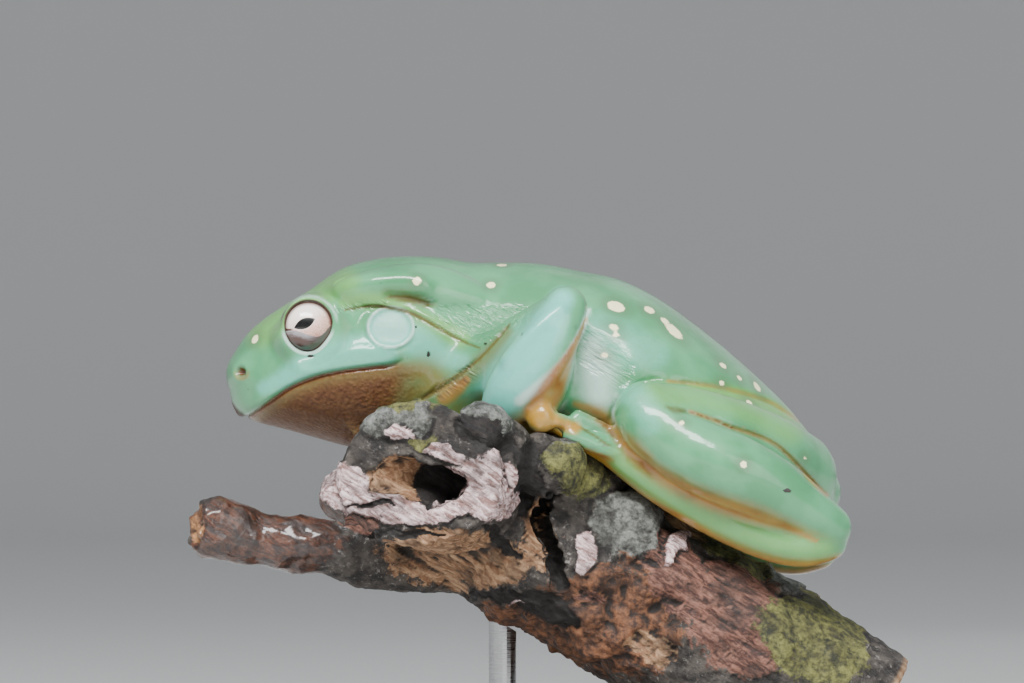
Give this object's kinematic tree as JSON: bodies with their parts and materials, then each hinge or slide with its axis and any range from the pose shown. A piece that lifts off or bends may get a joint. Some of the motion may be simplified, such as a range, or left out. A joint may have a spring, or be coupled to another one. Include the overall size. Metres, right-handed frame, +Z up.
{
  "type": "magnificent tree frog model",
  "caption": "Life-size still model of a green tree frog crouched on a cut length of broken branch, held by a plain display stand.",
  "frame": {"origin": "middle of the stand's underside", "axes": "+Z up, the frog looks along -X, its right side is towards +Y"},
  "size_m": [0.1157, 0.0741, 0.0991],
  "materials": {
    "skin": "moist, finely grained green skin with pale spots",
    "eye": "wet, clear",
    "bark": "rough bark with moss and bare broken wood",
    "base": "dark stain, satin",
    "rod": "brushed"
  },
  "bodies": {
    "root": {"head": "skin", "torso": "skin", "ear_left": "skin", "ear_right": "skin", "eye_left": "eye", "eye_right": "eye", "upper_arm_left": "skin", "upper_arm_right": "skin", "forearm_left": "skin", "forearm_right": "skin", "hand_left": "skin", "hand_right": "skin", "thigh_left": "skin", "thigh_right": "skin", "shank_left": "skin", "shank_right": "skin", "foot_left": "skin", "foot_right": "skin", "perch": "bark", "stand_base": "base", "stand_rod_front": "rod", "stand_rod_rear": "rod"}
  },
  "joints": []
}
